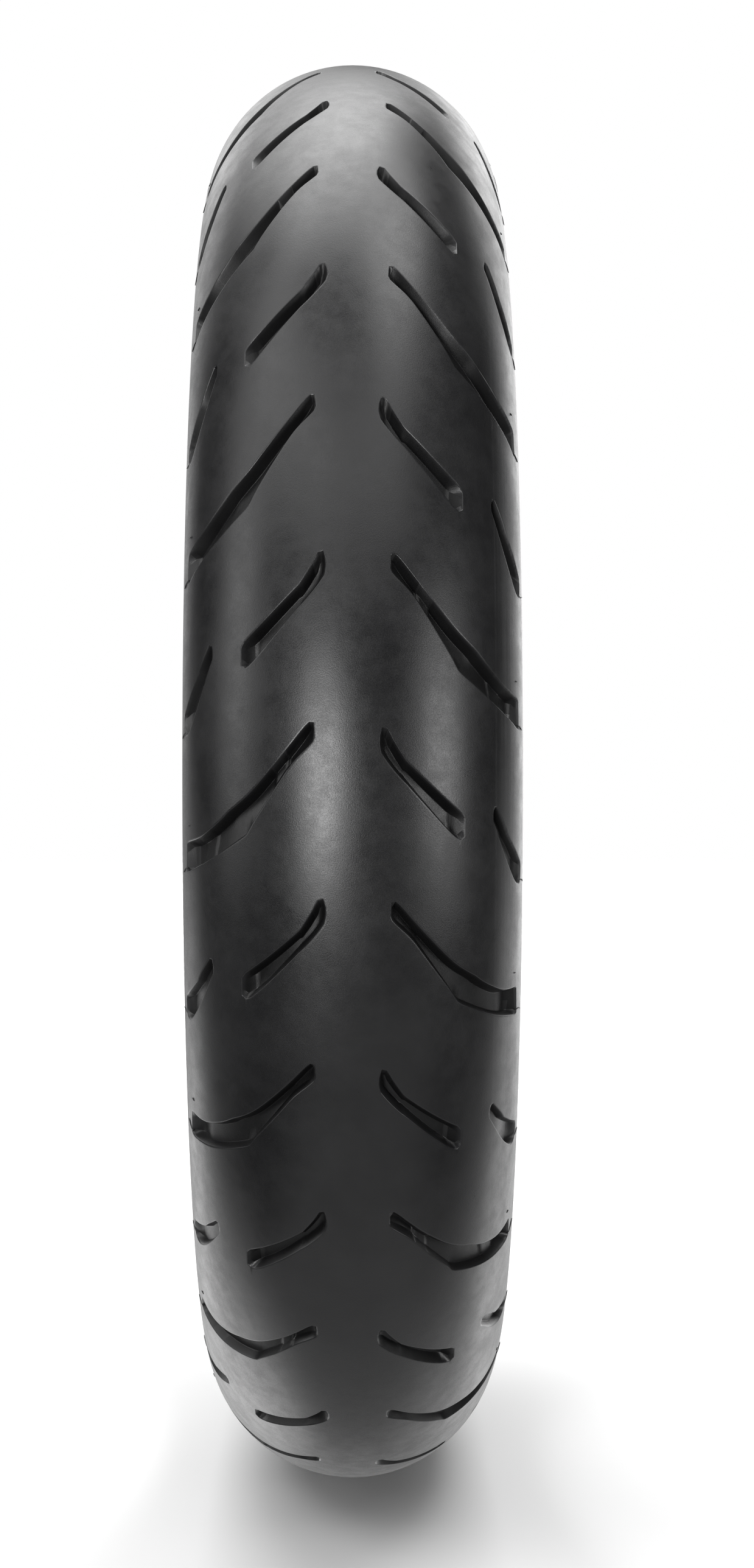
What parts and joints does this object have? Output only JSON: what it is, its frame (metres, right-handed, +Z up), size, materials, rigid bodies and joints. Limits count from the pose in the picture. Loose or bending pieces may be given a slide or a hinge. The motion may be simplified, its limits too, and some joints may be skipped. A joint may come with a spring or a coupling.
{
  "type": "motorcycle tire",
  "caption": "Tubeless radial motorcycle tire: round-section tread with slanted grooves, belts, plies turned up round wire beads, and an air-tight liner, open inside for a rim.",
  "frame": {"origin": "the centre of the wheel: on the axle line, in the tire's middle plane", "axes": "+Y along the axle, +Z up as the tire stands on its tread, +X the way it rolls when it turns by the right-hand rule about +Y; the pictured face is seen from +X"},
  "size_m": [0.6, 0.12, 0.6],
  "materials": {
    "tread_rubber": "matte",
    "sidewall_rubber": "matte",
    "base_rubber": "matte",
    "liner_rubber": "satin",
    "cap_ply_nylon": "matte",
    "belt_aramid": "matte",
    "carcass_rayon": "matte",
    "chafer_fabric": "matte",
    "bead_wire": "bronze-plated wire"
  },
  "bodies": {
    "root": {"tread_cap": "tread_rubber", "tread_base": "base_rubber", "jointless_cap_ply": "cap_ply_nylon", "outer_belt": "belt_aramid", "inner_belt": "belt_aramid", "outer_carcass_ply": "carcass_rayon", "inner_carcass_ply": "carcass_rayon", "inner_liner": "liner_rubber", "sidewall_left": "sidewall_rubber", "shoulder_cushion_left": "base_rubber", "bead_filler_left": "base_rubber", "bead_core_left": "bead_wire", "chafer_left": "chafer_fabric", "rim_strip_left": "sidewall_rubber", "sidewall_right": "sidewall_rubber", "shoulder_cushion_right": "base_rubber", "bead_filler_right": "base_rubber", "bead_core_right": "bead_wire", "chafer_right": "chafer_fabric", "rim_strip_right": "sidewall_rubber"}
  },
  "joints": []
}
